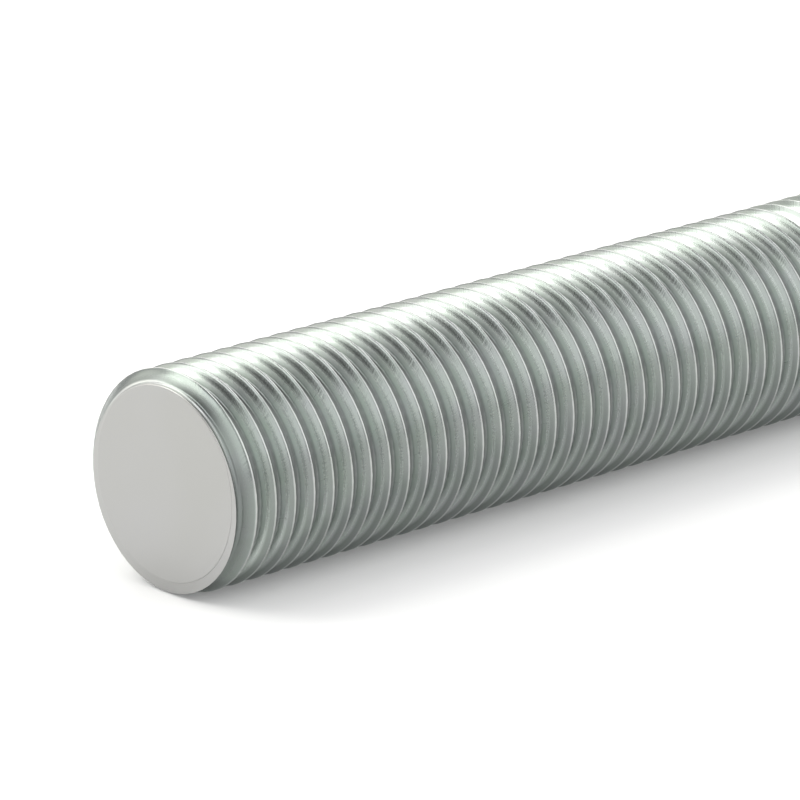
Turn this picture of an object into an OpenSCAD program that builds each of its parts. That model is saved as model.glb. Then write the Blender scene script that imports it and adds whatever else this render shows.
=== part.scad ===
// Fully threaded steel rod with a metric coarse thread, cut to stock length.
// The rod lies along X, centred on the origin. Sizes are in millimetres.

/* [Thread] */
// Major diameter of the thread, over its crests
thread_d = 36; // [20:1:64]
// Pitch, the distance from one crest to the next
pitch = 4; // [1.5:0.5:6]

/* [Rod] */
// Length from end face to end face
rod_length = 1000; // [100:10:3000]

/* [Ends] */
// How far each end's flat face stands out from the bevel around it
face_step = 0.25; // [0.1:0.01:0.6]
// Radius of the softened edge around each face
face_edge_r = 0.2; // [0.05:0.01:0.6]
// Angle between each face and its bevel, in degrees
bevel_angle = 10; // [2:1:60]

/* [Hidden] */
$fn = 96;

// Height of the sharp 60 degree triangle that the thread profile is cut from
triangle_h = pitch * sqrt(3) / 2;
// The thread's groove is 5/8 of that height deep, and each face is just inside its root
thread_depth = triangle_h * 5 / 8;
crest_r = thread_d / 2;
root_r = crest_r - thread_depth;
face_r = root_r - 0.05;
bevel_l = (crest_r - face_r) * tan(bevel_angle);
half_l = rod_length / 2;
edge_steps = 4;

// One end's section as points of (radius, depth from the face): edge, step and bevel
end_points = [
    for (i = [0 : edge_steps])
        let (a = 90 * i / edge_steps)
            [face_r - face_edge_r * (1 - sin(a)), face_edge_r * (1 - cos(a))],
    [face_r, face_step],
    [crest_r, face_step + bevel_l]
];

// Half of the rod's lengthwise section, from its axis out to the thread's crests
module half_section() {
    last = len(end_points) - 1;
    polygon([
        [0, -half_l],
        for (p = end_points) [p.x, p.y - half_l],
        for (i = [last : -1 : 0]) [end_points[i].x, half_l - end_points[i].y],
        [0, half_l]
    ]);
}

// The rod over its crests, with the fine helical groove left off
module threaded_rod() {
    color("silver")
        rotate([0, 90, 0])
            rotate_extrude()
                half_section();
}

threaded_rod();
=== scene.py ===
"""Looks of the threaded rod: its rolled thread, its bevelled ends and its plated steel."""

import math

import bmesh
import bpy
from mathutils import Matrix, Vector


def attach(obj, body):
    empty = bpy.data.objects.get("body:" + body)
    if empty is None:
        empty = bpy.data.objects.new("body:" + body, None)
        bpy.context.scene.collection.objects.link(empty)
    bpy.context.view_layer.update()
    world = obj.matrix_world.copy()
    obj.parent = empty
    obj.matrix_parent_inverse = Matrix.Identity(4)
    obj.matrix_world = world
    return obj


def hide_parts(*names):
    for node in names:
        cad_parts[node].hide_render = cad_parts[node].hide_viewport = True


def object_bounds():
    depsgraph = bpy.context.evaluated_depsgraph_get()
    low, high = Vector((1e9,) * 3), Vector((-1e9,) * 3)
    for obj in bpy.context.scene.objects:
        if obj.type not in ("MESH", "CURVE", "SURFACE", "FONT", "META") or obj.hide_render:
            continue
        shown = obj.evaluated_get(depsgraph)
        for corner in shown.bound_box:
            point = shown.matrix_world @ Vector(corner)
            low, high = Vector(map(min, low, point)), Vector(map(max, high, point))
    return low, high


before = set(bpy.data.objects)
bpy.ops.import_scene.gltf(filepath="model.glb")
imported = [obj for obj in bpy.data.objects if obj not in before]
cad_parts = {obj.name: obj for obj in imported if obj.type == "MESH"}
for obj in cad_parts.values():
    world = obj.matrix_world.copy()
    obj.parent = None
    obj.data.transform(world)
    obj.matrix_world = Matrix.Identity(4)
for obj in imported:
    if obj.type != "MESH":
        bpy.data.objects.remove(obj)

CAD_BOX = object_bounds()
LOW, HIGH = Vector(CAD_BOX[0]), Vector(CAD_BOX[1])

# The thread, in metres. Its major radius and the rod's ends come from the frame.
# The groove is 5/8 as deep as the sharp 60 degree triangle that the metric profile is cut from.
PITCH = 0.004
CREST_R = (HIGH.z - LOW.z) / 2
SHARP_H = PITCH * math.sqrt(3) / 2
ROOT_R = CREST_R - SHARP_H * 5 / 8
# Flanks at 60 degrees to the axis ease over into a narrow flat crest and drop to a wider flat root:
# half the crest's flat width, then the radii at its edge, on down to the flank and into the root
FLANK_TURN = math.radians(60)
EASE_TURN = math.radians(43)
CREST_HALF = 0.00008
CREST_EDGE_R = 0.00008
CREST_EASE_R = 0.0012
ROOT_EDGE_R = SHARP_H / 6
# The turns drawn with plain corners: half the width of their crest
PLAIN_CREST_HALF = 0.0001

# The mesh: stations to a turn, and steps in each rounded corner of the section.
# The turns at both ends have rounded corners, and those between have plain ones.
# Spare turns run past each end before the rod is cut to length.
STATIONS = 54
CREST_EDGE_STEPS = 2
CREST_EASE_STEPS = 2
ROOT_EDGE_STEPS = 2
NEAR_FINE_TURNS = 34
FAR_FINE_TURNS = 3
SPARE_TURNS = 2

# Where the crest meets the near face: the angle from +Y toward +Z
CREST_AT_FACE = math.radians(248)

# Each end: a flat face that stands a little proud of a shallow bevel across the first thread
FACE_R = ROOT_R - 0.00005
FACE_EDGE_R = 0.0002
FACE_STEP = 0.00025
BEVEL = math.radians(10)
EDGE_STEPS = 4
CUTTER_SIDES = 180
CUTTER_MARGIN = 0.001
CUTTER_R = CREST_R + CUTTER_MARGIN

# The step is shallow on one side: by how much of its depth, and the angle from +Y toward +Z
SHALLOW_PART = 0.65
SHALLOW_SIDE = math.radians(165)

# Corners of the ends that are sharper than this stay crisp
SHARP_ANGLE = math.radians(35)
# How far the shading of large faces outweighs that of small ones, from 1 to 100
FACE_WEIGHT = 100
THREAD_SLOT, END_SLOT = 0, 1

# The steel on the thread: its own green-grey, with painted shade and highlight by height. It is dark
# in the root, lightest partway up the flank, darker toward the crest and bright on it. Stops of
# (height from root to crest, colour)
THREAD_STEEL_AND_PAINTED_SHADE = [
    (0.0, (0.12, 0.13, 0.125)),
    (0.1, (0.26, 0.28, 0.27)),
    (0.2, (0.41, 0.445, 0.425)),
    (0.45, (0.47, 0.508, 0.485)),
    (0.55, (0.37, 0.402, 0.383)),
    (0.67, (0.235, 0.26, 0.245)),
    (0.94, (0.23, 0.25, 0.24)),
    (0.985, (0.45, 0.47, 0.455)),
]
# The same for the flank beside each end, which has no thread opposite it: its own steel colour with
# painted shade and highlight, darker over the middle of the flank
OPEN_STEEL_AND_PAINTED_SHADE = [
    (0.0, (0.19, 0.208, 0.20)),
    (0.12, (0.175, 0.193, 0.184)),
    (0.3, (0.17, 0.187, 0.178)),
    (0.6, (0.205, 0.227, 0.215)),
    (0.88, (0.235, 0.26, 0.245)),
    (0.94, (0.30, 0.33, 0.315)),
    (0.985, (0.48, 0.50, 0.485)),
]
# How many turns in from the end that flank's painted shade still holds, and by how many it is gone
OPEN_TURNS = (0.95, 1.2)
# The root just inside each end, with a painted highlight along the face's rim: between which depths
# it fades inward, and between which heights it fades up the flank
RIM_HIGHLIGHT_COLOUR = (0.47, 0.49, 0.475)
RIM_HIGHLIGHT_DEPTH = (0.0007, 0.0011)
RIM_HIGHLIGHT_HEIGHT = (0.15, 0.32)
# Soft patches of slightly different tint
PATCH_SIZE = 0.005
PATCH_COLOURS = [
    (0.35, (0.985, 1.0, 0.98)),
    (0.50, (1.0, 1.0, 1.0)),
    (0.65, (1.02, 1.0, 1.025)),
]
# Roughness in the root and at the crest, and the heights between which it changes
ROOT_ROUGH, CREST_ROUGH = 0.29, 0.2
ROUGH_CHANGE = (0.40, 0.64)
# Fine streaks that run across each flank: their width, their twist round the rod in radians to a
# metre, how fast they change along the rod against 1 around it, and the noise's detail and grain
STREAK_SIZE = 0.0003
STREAK_TWIST = 60.0
STREAK_DRIFT = 0.1
STREAK_DETAIL = 3.0
STREAK_GRAIN = 0.6
# How far the streaks move the colour and the roughness, and how high they stand
STREAK_SHADE = 0.015
STREAK_ROUGH = 0.02
STREAK_HEIGHT = 0.000024
# The part of that height left in the root, and the heights between which they rise to all of it
ROOT_STREAK_PART = 0.22
STREAK_CHANGE = (0.48, 0.70)
# Each flank is shaded as a little crowned: how far it would fall away a whole thread depth from the
# height where it is highest, and that height. The flank beside each end has its own.
CROWN_DROP = 0.00026
CROWN_AT = 0.45
OPEN_CROWN_DROP = 0.00045
OPEN_CROWN_AT = 0.15

# The steel on the ends: soft patches of colour, and fine turning marks round the centre
END_PATCH_SIZE = 0.02
END_PATCH_DETAIL = 1.0
END_COLOURS = [(0.35, (0.41, 0.41, 0.398)), (0.65, (0.423, 0.423, 0.419))]
END_ROUGH = 0.3
END_ROUGH_SPREAD = 0.02
TURNING_SIZE = 0.0004
TURNING_HEIGHT = 0.000001

# Noise seldom goes past these values
NOISE_RANGE = (0.25, 0.75)
# What to multiply a place by to leave only its offset from the rod's axis
ACROSS = (0, 1, 1)
# The colour sockets of a mix node: its two inputs and its result
MIX_FIRST, MIX_SECOND, MIX_RESULT = 6, 7, 2

# The floor's own colour, and the light that it adds where it is seen
FLOOR_HALF_SIZE = 20.0
FLOOR_ROUGH = 0.9
FLOOR_COLOUR = (0.76, 0.76, 0.76)
FLOOR_LIFT_COLOUR = (1.0, 1.0, 1.0)
FLOOR_LIFT = 0.12

# The camera looks along a direction between +Y and +X, and down. It aims at a point beyond the near
# end and above the axis, from a distance in metres, through a long lens with its sizes in millimetres.
CAMERA_AZIMUTH = math.radians(43.14)
CAMERA_ELEVATION = math.radians(17.39)
CAMERA_DISTANCE = 1.0427
CAMERA_AIM = Vector((LOW.x + 0.05005, 0, 0.0029))
LENS_LENGTH = 294.8
SENSOR_WIDTH = 36
CAMERA_REACH = 100

# Light from all round, and patches in it that are dimmer or brighter, each from its core out to
# its edge: (azimuth from +X, elevation), core and edge, all in degrees, then colour
SKY = (0.76, 0.76, 0.76)
SKY_PATCHES = [
    ((0, 90), 10, 28, (0.25, 0.25, 0.25)),
    ((111, 15), 8, 24, (2.2, 2.14, 2.06)),
    ((62, 27), 6, 18, (2.7, 2.63, 2.53)),
    ((10, 60), 6, 16, (3.0, 3.0, 3.0)),
    ((-65, 36), 12, 46, (1.85, 1.85, 1.85)),
    ((-162, 22), 14, 32, (2.1, 2.1, 2.1)),
    ((163, 28), 9, 21, (0.08, 0.08, 0.08)),
    ((178, 50), 7, 17, (2.7, 2.7, 2.7)),
]
# Soft boxes: place from the near end, the way it faces, width, depth and radiance
LIGHT_COLOUR = (1.0, 1.0, 0.95)
KEY_BOX = ((-0.87, 1.07, 0.80), (0.87, -1.07, -0.80), 0.50, 0.55, 3.2)
LEFT_BOX = ((-1.15, 1.02, 1.5), (0, 0, -1), 1.1, 1.15, 3.2)
TOP_BOX = ((0.30, 1.10, 1.5), (0, 0, -1), 1.8, 1.2, 2.0)


def arc(centre_x, centre_r, radius, start, end, steps):
    """Points (along, radius) on an arc. Angle 0 is straight out from the axis."""
    points = []
    for step in range(steps + 1):
        turn = start + (end - start) * step / steps
        points.append((centre_x + radius * math.sin(turn), centre_r + radius * math.cos(turn)))
    return points


def crest_side():
    """Half of a rounded crest as (distance from the crest's middle, radius), from flat to flank."""
    edge_r = CREST_R - CREST_EDGE_R
    points = arc(CREST_HALF, edge_r, CREST_EDGE_R, 0, EASE_TURN, CREST_EDGE_STEPS)
    inward = CREST_EASE_R - CREST_EDGE_R
    ease_x = CREST_HALF - inward * math.sin(EASE_TURN)
    ease_r = edge_r - inward * math.cos(EASE_TURN)
    ease = arc(ease_x, ease_r, CREST_EASE_R, EASE_TURN, FLANK_TURN, CREST_EASE_STEPS)
    return points + ease[1:]


CREST_SIDE = crest_side()
FLANK_TOP_X, FLANK_TOP_R = CREST_SIDE[-1]
ROOT_HALF = PITCH / 2 - FLANK_TOP_X - (FLANK_TOP_R - ROOT_R) / math.tan(FLANK_TURN)


def thread_spans(fine):
    """One pitch of the thread's section from root to root, as five spans that share end points."""
    middle = PITCH / 2
    if fine:
        crest = [(middle - x, radius) for x, radius in CREST_SIDE[::-1]]
        crest += [(middle + x, radius) for x, radius in CREST_SIDE]
        inset = ROOT_EDGE_R * math.tan(FLANK_TURN / 2)
        centre_r = ROOT_R + ROOT_EDGE_R
        left, right = ROOT_HALF - inset, PITCH - ROOT_HALF + inset
        first_root = arc(left, centre_r, ROOT_EDGE_R, math.pi, math.pi - FLANK_TURN, ROOT_EDGE_STEPS)
        last_root = arc(right, centre_r, ROOT_EDGE_R, math.pi + FLANK_TURN, math.pi, ROOT_EDGE_STEPS)
    else:
        crest = [(middle - PLAIN_CREST_HALF, CREST_R), (middle + PLAIN_CREST_HALF, CREST_R)]
        first_root = [(ROOT_HALF, ROOT_R)]
        last_root = [(PITCH - ROOT_HALF, ROOT_R)]
    first_root.insert(0, (0, ROOT_R))
    last_root.append((PITCH, ROOT_R))
    rise = [first_root[-1], crest[0]]
    fall = [crest[-1], last_root[0]]
    return [first_root, rise, crest, fall, last_root]


def helix_mesh(name, start_x, end_x):
    """The thread as one closed helical skin that runs past start_x and end_x.

    Each section starts half a pitch before its crest, in the middle of the root.
    """
    turns = math.ceil((end_x - start_x) / PITCH) + 2 * SPARE_TURNS
    fine_spans, coarse_spans = thread_spans(True), thread_spans(False)
    bm = bmesh.new()

    def vertex(station, along, radius):
        angle = CREST_AT_FACE + 2 * math.pi * station / STATIONS
        x = start_x + PITCH * (station / STATIONS - SPARE_TURNS - 0.5) + along
        return bm.verts.new((x, radius * math.cos(angle), radius * math.sin(angle)))

    count = turns * STATIONS
    root_line = [vertex(station, 0, ROOT_R) for station in range(count + STATIONS)]
    rows = []
    for station in range(count):
        turn = station / STATIONS - SPARE_TURNS
        fine = turn < NEAR_FINE_TURNS or turn > turns - 2 * SPARE_TURNS - FAR_FINE_TURNS
        spans = fine_spans if fine else coarse_spans
        last = root_line[station]
        row = []
        for span in spans:
            closing = span is spans[-1]
            inner = span[1:-1] if closing else span[1:]
            row_span = [last] + [vertex(station, along, radius) for along, radius in inner]
            if closing:
                row_span.append(root_line[station + STATIONS])
            last = row_span[-1]
            row.append(row_span)
        rows.append(row)
    for row, following in zip(rows, rows[1:]):
        for span, next_span in zip(row, following):
            skin_between(bm, span, next_span)
    close_ends(bm)
    mesh = bpy.data.meshes.new(name)
    bm.to_mesh(mesh)
    bm.free()
    return mesh


def skin_between(bm, span, next_span):
    """Quads between two spans of equal count, or one face where a fine span meets a coarse one."""
    if len(span) != len(next_span):
        bm.faces.new(span + next_span[::-1])
        return
    for step in range(len(span) - 1):
        bm.faces.new((span[step], span[step + 1], next_span[step + 1], next_span[step]))


def close_ends(bm):
    """Closes both ragged ends of the helical skin with a fan to a point on the axis."""
    open_edges = [edge for edge in bm.edges if edge.is_boundary]
    middle = sum(edge.verts[0].co.x for edge in open_edges) / len(open_edges)
    for near in (True, False):
        loop = [edge for edge in open_edges if (edge.verts[0].co.x < middle) == near]
        x = sum(edge.verts[0].co.x for edge in loop) / len(loop)
        hub = bm.verts.new((x, 0, 0))
        for edge in loop:
            bm.faces.new((edge.verts[0], edge.verts[1], hub))
    bmesh.ops.recalc_face_normals(bm, faces=bm.faces)


def revolve(name, section, sides):
    """A closed solid of revolution about X from a section of (x, radius) points off the axis."""
    bm = bmesh.new()
    rings = []
    for x, radius in section:
        ring = []
        for side in range(sides):
            angle = 2 * math.pi * side / sides
            ring.append(bm.verts.new((x, radius * math.cos(angle), radius * math.sin(angle))))
        rings.append(ring)
    for ring, following in zip(rings, rings[1:]):
        for side in range(sides):
            after = (side + 1) % sides
            bm.faces.new((ring[side], ring[after], following[after], following[side]))
    bm.faces.new(rings[0])
    bm.faces.new(rings[-1])
    bmesh.ops.recalc_face_normals(bm, faces=bm.faces)
    for face in bm.faces:
        face.material_index = END_SLOT
    mesh = bpy.data.meshes.new(name)
    bm.to_mesh(mesh)
    bm.free()
    return mesh


def end_section():
    """One end's section as (depth from the end, radius): face, softened edge, step and bevel."""
    edge = arc(FACE_EDGE_R, FACE_R - FACE_EDGE_R, FACE_EDGE_R, -math.pi / 2, 0, EDGE_STEPS)
    reach = (CUTTER_R - FACE_R) * math.tan(BEVEL)
    return edge + [(FACE_STEP, FACE_R), (FACE_STEP + reach, CUTTER_R)]


def dress_ends(mesh):
    """Leaves the step round each face shallow on one side, as filing by hand does."""
    for vertex in mesh.vertices:
        x, y, z = vertex.co
        inward = 1 if x < 0 else -1
        depth = x - LOW.x if x < 0 else HIGH.x - x
        shallow = SHALLOW_PART * math.cos(math.atan2(z, y) - SHALLOW_SIDE)
        vertex.co.x -= inward * shallow * min(depth, FACE_STEP)


def link(name, mesh):
    obj = bpy.data.objects.new(name, mesh)
    bpy.context.scene.collection.objects.link(obj)
    return obj


def cut_to(body, cutter):
    """Keeps only what of body lies inside cutter, and removes the cutter."""
    cut = body.modifiers.new("cut", "BOOLEAN")
    cut.operation = "INTERSECT"
    cut.solver = "EXACT"
    cut.material_mode = "INDEX"
    cut.object = cutter
    graph = bpy.context.evaluated_depsgraph_get()
    mesh = bpy.data.meshes.new_from_object(body.evaluated_get(graph), depsgraph=graph)
    body.modifiers.clear()
    body.data = mesh
    bpy.data.objects.remove(cutter)


def crisp_edges(mesh):
    """Smooth shading all over the thread, broken at the ends' sharp corners and where they meet it."""
    mesh.shade_smooth()
    bm = bmesh.new()
    bm.from_mesh(mesh)
    for edge in bm.edges:
        slots = {face.material_index for face in edge.link_faces}
        rounded = slots == {THREAD_SLOT} or edge.calc_face_angle(0) < SHARP_ANGLE
        edge.smooth = len(slots) == 1 and rounded
    bm.to_mesh(mesh)
    bm.free()


def threaded_rod(thread_finish, end_finish):
    """The whole rod: the thread cut to length, with its face and bevel at both ends."""
    body = link("rod", helix_mesh("rod", LOW.x, HIGH.x))
    near = [(LOW.x + depth, radius) for depth, radius in end_section()]
    far = [(HIGH.x - depth, radius) for depth, radius in end_section()]
    cutter = link("end_cutter", revolve("end_cutter", near + far[::-1], CUTTER_SIDES))
    dress_ends(cutter.data)
    for obj in (body, cutter):
        obj.data.materials.append(thread_finish)
        obj.data.materials.append(end_finish)
    cut_to(body, cutter)
    crisp_edges(body.data)
    weighted = body.modifiers.new("normals", "WEIGHTED_NORMAL")
    weighted.keep_sharp = True
    weighted.mode = "FACE_AREA"
    weighted.weight = FACE_WEIGHT
    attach(body, "root")
    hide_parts("threaded_rod")


class Nodes:
    """Short ways to add nodes to one material or world tree, and to link them."""

    def __init__(self, tree):
        self.tree = tree

    def add(self, kind, **settings):
        node = self.tree.nodes.new(kind)
        for name, value in settings.items():
            setattr(node, name, value)
        return node

    def feed(self, socket, value):
        """Links another node's output into a socket, or sets the socket to a plain value."""
        if isinstance(value, bpy.types.NodeSocket):
            self.tree.links.new(value, socket)
        else:
            socket.default_value = value

    def math(self, operation, first, second=0.0):
        node = self.add("ShaderNodeMath", operation=operation)
        self.feed(node.inputs[0], first)
        self.feed(node.inputs[1], second)
        return node.outputs[0]

    def vector(self, operation, first, second=(0, 0, 0), result="Vector"):
        node = self.add("ShaderNodeVectorMath", operation=operation)
        self.feed(node.inputs[0], first)
        self.feed(node.inputs[1], second)
        return node.outputs[result]

    def scale(self, value, factor):
        node = self.add("ShaderNodeVectorMath", operation="SCALE")
        self.feed(node.inputs[0], value)
        self.feed(node.inputs["Scale"], factor)
        return node.outputs["Vector"]

    def parts(self, value):
        """The X, Y and Z of a vector."""
        node = self.add("ShaderNodeSeparateXYZ")
        self.feed(node.inputs[0], value)
        return node.outputs

    def along_x(self, value):
        """A vector along X of the given length."""
        node = self.add("ShaderNodeCombineXYZ")
        self.feed(node.inputs["X"], value)
        return node.outputs[0]

    def noise(self, place, size, detail=2.0, grain=0.5):
        """Smooth noise from 0 to 1 with features of about the given size, in metres."""
        node = self.add("ShaderNodeTexNoise")
        self.feed(node.inputs["Vector"], place)
        node.inputs["Scale"].default_value = 1 / size
        node.inputs["Detail"].default_value = detail
        node.inputs["Roughness"].default_value = grain
        return node.outputs["Fac"]

    def remap(self, value, from_low, from_high, to_low=0.0, to_high=1.0, smooth=False):
        node = self.add("ShaderNodeMapRange")
        if smooth:
            node.interpolation_type = "SMOOTHSTEP"
        self.feed(node.inputs["Value"], value)
        node.inputs["From Min"].default_value = from_low
        node.inputs["From Max"].default_value = from_high
        node.inputs["To Min"].default_value = to_low
        node.inputs["To Max"].default_value = to_high
        return node.outputs["Result"]

    def ramp(self, value, stops):
        """A colour ramp through stops of (position, colour), at least two of them."""
        node = self.add("ShaderNodeValToRGB")
        self.feed(node.inputs["Fac"], value)
        elements = node.color_ramp.elements
        while len(elements) < len(stops):
            elements.new(position=0.5)
        for element, (position, colour) in zip(elements, stops):
            element.position = position
            element.color = (*colour, 1)
        return node.outputs["Color"]

    def mix(self, amount, first, second, blend="MIX"):
        node = self.add("ShaderNodeMix", data_type="RGBA", blend_type=blend)
        self.feed(node.inputs["Factor"], amount)
        self.feed(node.inputs[MIX_FIRST], first)
        self.feed(node.inputs[MIX_SECOND], second)
        return node.outputs[MIX_RESULT]

    def bump(self, height, distance):
        """A bumped normal from a height. The distance, in metres, is what a height of 1 stands for."""
        node = self.add("ShaderNodeBump")
        node.inputs["Strength"].default_value = 1.0
        node.inputs["Distance"].default_value = distance
        self.feed(node.inputs["Height"], height)
        return node.outputs[0]


def metal(name):
    """A new metallic material: its tree and its shader."""
    material = bpy.data.materials.new(name)
    material.use_nodes = True
    shader = material.node_tree.nodes["Principled BSDF"]
    shader.inputs["Metallic"].default_value = 1.0
    return material, Nodes(material.node_tree), shader


def open_flanks(nodes, place):
    """1 on the flank beside each end of the rod, where its own painted shade and crown go, easing to 0
    within a quarter turn of the thread.
    """
    along, y, z = nodes.parts(place)
    turns = (HIGH.x - LOW.x) / PITCH
    place_in_turns = nodes.math("DIVIDE", nodes.math("SUBTRACT", along, LOW.x), PITCH)
    angle = nodes.math("SUBTRACT", nodes.math("ARCTAN2", z, y), CREST_AT_FACE)
    phase = nodes.math("FRACT", nodes.math("DIVIDE", angle, 2 * math.pi))
    groove = nodes.math("SUBTRACT", place_in_turns, phase)
    near = nodes.math("ADD", nodes.math("CEIL", groove), phase)
    far = nodes.math("SUBTRACT", turns, nodes.math("ADD", nodes.math("FLOOR", groove), phase))
    nearest = nodes.math("MINIMUM", near, far)
    return nodes.remap(nearest, *OPEN_TURNS, 1.0, 0.0, smooth=True)


def rim_highlight(nodes, along, height):
    """1 in the root just inside each end of the rod, where a highlight is painted, easing to 0 inward
    and up the flank.
    """
    near = nodes.math("SUBTRACT", along, LOW.x)
    far = nodes.math("SUBTRACT", HIGH.x, along)
    close = nodes.remap(nodes.math("MINIMUM", near, far), *RIM_HIGHLIGHT_DEPTH, 1.0, 0.0, smooth=True)
    low = nodes.remap(height, *RIM_HIGHLIGHT_HEIGHT, 1.0, 0.0, smooth=True)
    return nodes.math("MULTIPLY", close, low)


def rolled_thread():
    """Plated steel on the thread, finely streaked, with painted shade and highlights."""
    material, nodes, shader = metal("rolled_thread")
    place = nodes.add("ShaderNodeTexCoord").outputs["Object"]
    along = nodes.parts(place)["X"]
    from_axis = nodes.vector("MULTIPLY", place, ACROSS)
    radius = nodes.vector("LENGTH", from_axis, result="Value")
    height = nodes.remap(radius, ROOT_R, CREST_R)
    standing_open = open_flanks(nodes, place)

    twisted = nodes.add("ShaderNodeVectorRotate", rotation_type="X_AXIS")
    nodes.feed(twisted.inputs["Vector"], nodes.vector("NORMALIZE", from_axis))
    nodes.feed(twisted.inputs["Angle"], nodes.math("MULTIPLY", along, STREAK_TWIST))
    around = nodes.scale(twisted.outputs["Vector"], CREST_R)
    drift = nodes.along_x(nodes.math("MULTIPLY", along, STREAK_DRIFT))
    streak_place = nodes.vector("ADD", around, drift)
    streaks = nodes.noise(streak_place, STREAK_SIZE, STREAK_DETAIL, STREAK_GRAIN)

    # Painted shade and highlight by height from root to crest, over the steel's own colour
    colour = nodes.ramp(height, THREAD_STEEL_AND_PAINTED_SHADE)
    # The flank beside each end gets its own painted shade and highlight
    colour = nodes.mix(standing_open, colour, nodes.ramp(height, OPEN_STEEL_AND_PAINTED_SHADE))
    # A painted highlight in the root just inside each end, along the face's rim
    colour = nodes.mix(rim_highlight(nodes, along, height), colour, (*RIM_HIGHLIGHT_COLOUR, 1))
    tint = nodes.ramp(nodes.noise(place, PATCH_SIZE), PATCH_COLOURS)
    colour = nodes.mix(1.0, colour, tint, "MULTIPLY")
    shade = nodes.remap(streaks, *NOISE_RANGE, 1 - STREAK_SHADE, 1 + STREAK_SHADE)
    nodes.feed(shader.inputs["Base Color"], nodes.scale(colour, shade))

    rough = nodes.remap(height, *ROUGH_CHANGE, ROOT_ROUGH, CREST_ROUGH)
    rough_change = nodes.remap(streaks, *NOISE_RANGE, -STREAK_ROUGH, STREAK_ROUGH)
    nodes.feed(shader.inputs["Roughness"], nodes.math("ADD", rough, rough_change))

    crown_at = nodes.remap(standing_open, 0, 1, CROWN_AT, OPEN_CROWN_AT)
    crown = nodes.math("SUBTRACT", height, crown_at)
    crown = nodes.math("MULTIPLY", crown, crown)
    drop = nodes.remap(standing_open, 0, 1, CROWN_DROP, OPEN_CROWN_DROP)
    crown = nodes.math("MULTIPLY", crown, drop)
    streak_part = nodes.remap(height, *STREAK_CHANGE, ROOT_STREAK_PART, 1.0)
    streak_relief = nodes.math("MULTIPLY", nodes.math("MULTIPLY", streaks, STREAK_HEIGHT), streak_part)
    relief = nodes.math("SUBTRACT", streak_relief, crown)
    nodes.feed(shader.inputs["Normal"], nodes.bump(relief, 1.0))
    return material


def cut_end():
    """Smoothly faced steel on both ends, with faint turning marks around the centre."""
    material, nodes, shader = metal("cut_end")
    place = nodes.add("ShaderNodeTexCoord").outputs["Object"]
    radius = nodes.vector("LENGTH", nodes.vector("MULTIPLY", place, ACROSS), result="Value")
    turning = nodes.noise(nodes.along_x(radius), TURNING_SIZE)
    patches = nodes.noise(place, END_PATCH_SIZE, END_PATCH_DETAIL)
    nodes.feed(shader.inputs["Base Color"], nodes.ramp(patches, END_COLOURS))
    smoothest, roughest = END_ROUGH - END_ROUGH_SPREAD, END_ROUGH + END_ROUGH_SPREAD
    nodes.feed(shader.inputs["Roughness"], nodes.remap(turning, *NOISE_RANGE, smoothest, roughest))
    nodes.feed(shader.inputs["Normal"], nodes.bump(turning, TURNING_HEIGHT))
    return material


def floor():
    """A pale floor that shows white around the rod's soft shadow, to the eye and in the steel."""
    mesh = bpy.data.meshes.new("floor")
    size = FLOOR_HALF_SIZE
    z = LOW.z
    corners = [(-size, -size, z), (size, -size, z), (size, size, z), (-size, size, z)]
    mesh.from_pydata(corners, [], [(0, 1, 2, 3)])
    obj = link("floor", mesh)
    material = bpy.data.materials.new("floor")
    material.use_nodes = True
    nodes = Nodes(material.node_tree)
    shader = material.node_tree.nodes["Principled BSDF"]
    shader.inputs["Base Color"].default_value = (*FLOOR_COLOUR, 1)
    shader.inputs["Roughness"].default_value = FLOOR_ROUGH
    shader.inputs["Specular IOR Level"].default_value = 0.0
    shader.inputs["Emission Color"].default_value = (*FLOOR_LIFT_COLOUR, 1)
    path = nodes.add("ShaderNodeLightPath").outputs
    seen = nodes.math("ADD", path["Is Camera Ray"], path["Is Glossy Ray"])
    seen = nodes.math("ADD", seen, path["Is Transmission Ray"])
    seen = nodes.math("MINIMUM", seen, 1.0)
    nodes.feed(shader.inputs["Emission Strength"], nodes.math("MULTIPLY", seen, FLOOR_LIFT))
    mesh.materials.append(material)


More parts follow.
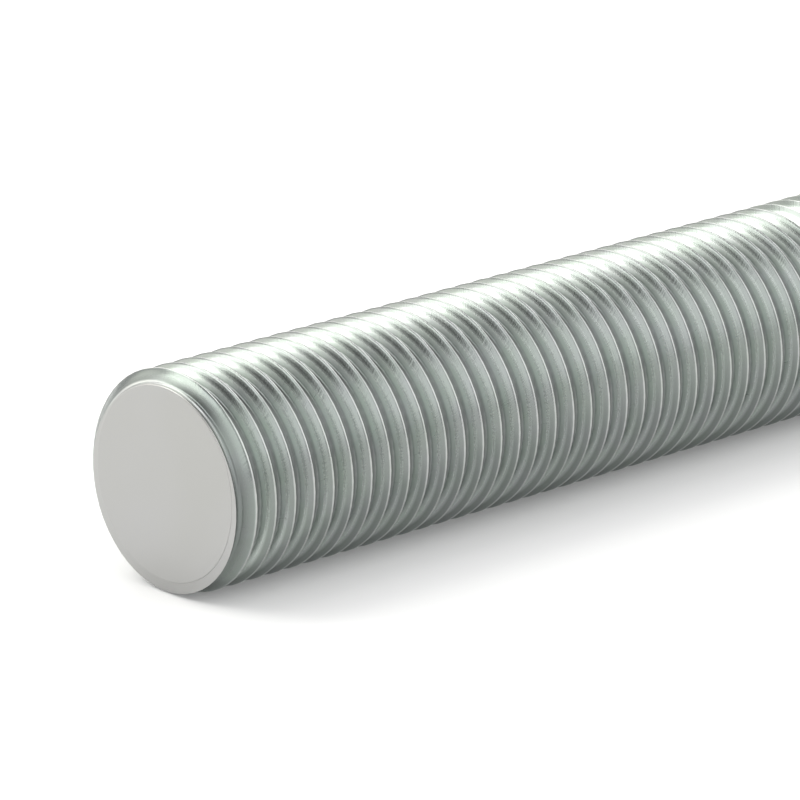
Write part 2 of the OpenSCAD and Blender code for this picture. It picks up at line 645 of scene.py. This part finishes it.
def camera():
    """A long lens on the near end, looking along the rod and down on it."""
    level = math.cos(CAMERA_ELEVATION)
    forward_x = math.sin(CAMERA_AZIMUTH) * level
    forward_y = math.cos(CAMERA_AZIMUTH) * level
    forward = Vector((forward_x, forward_y, -math.sin(CAMERA_ELEVATION)))
    data = bpy.data.cameras.new("camera")
    data.sensor_width = SENSOR_WIDTH
    data.lens = LENS_LENGTH
    data.clip_end = CAMERA_REACH
    obj = link("camera", data)
    obj.location = CAMERA_AIM - forward * CAMERA_DISTANCE
    obj.rotation_euler = forward.to_track_quat("-Z", "Y").to_euler()
    bpy.context.scene.camera = obj


def direction(azimuth, elevation):
    """A unit vector from angles in degrees: azimuth from +X toward +Y, elevation up from level."""
    turn, rise = math.radians(azimuth), math.radians(elevation)
    level = math.cos(rise)
    return Vector((math.cos(turn) * level, math.sin(turn) * level, math.sin(rise)))


def soft_box(name, place, facing, width, depth, radiance):
    """A rectangular light of even radiance, placed from the near end of the rod."""
    data = bpy.data.lights.new(name, "AREA")
    data.shape = "RECTANGLE"
    data.size = width
    data.size_y = depth
    data.energy = radiance * math.pi * width * depth
    data.color = LIGHT_COLOUR
    obj = link(name, data)
    obj.location = Vector((LOW.x, 0, 0)) + Vector(place)
    obj.rotation_euler = Vector(facing).to_track_quat("-Z", "Y").to_euler()
    obj.visible_camera = False


def studio():
    """Light from all round, dimmed and brightened in soft patches."""
    world = bpy.data.worlds.new("studio")
    bpy.context.scene.world = world
    world.use_nodes = True
    nodes = Nodes(world.node_tree)
    look = nodes.add("ShaderNodeTexCoord").outputs["Generated"]
    look = nodes.vector("NORMALIZE", look)
    colour = (*SKY, 1)
    for angles, core, edge, patch in SKY_PATCHES:
        closeness = nodes.vector("DOT_PRODUCT", look, direction(*angles), "Value")
        low, high = math.cos(math.radians(edge)), math.cos(math.radians(core))
        colour = nodes.mix(nodes.remap(closeness, low, high, smooth=True), colour, (*patch, 1))
    nodes.feed(world.node_tree.nodes["Background"].inputs["Color"], colour)
    world.node_tree.nodes["Background"].inputs["Strength"].default_value = 1.0


bpy.context.scene.view_settings.view_transform = "Standard"
threaded_rod(rolled_thread(), cut_end())
floor()
camera()
studio()
soft_box("key", *KEY_BOX)
soft_box("left", *LEFT_BOX)
soft_box("top", *TOP_BOX)
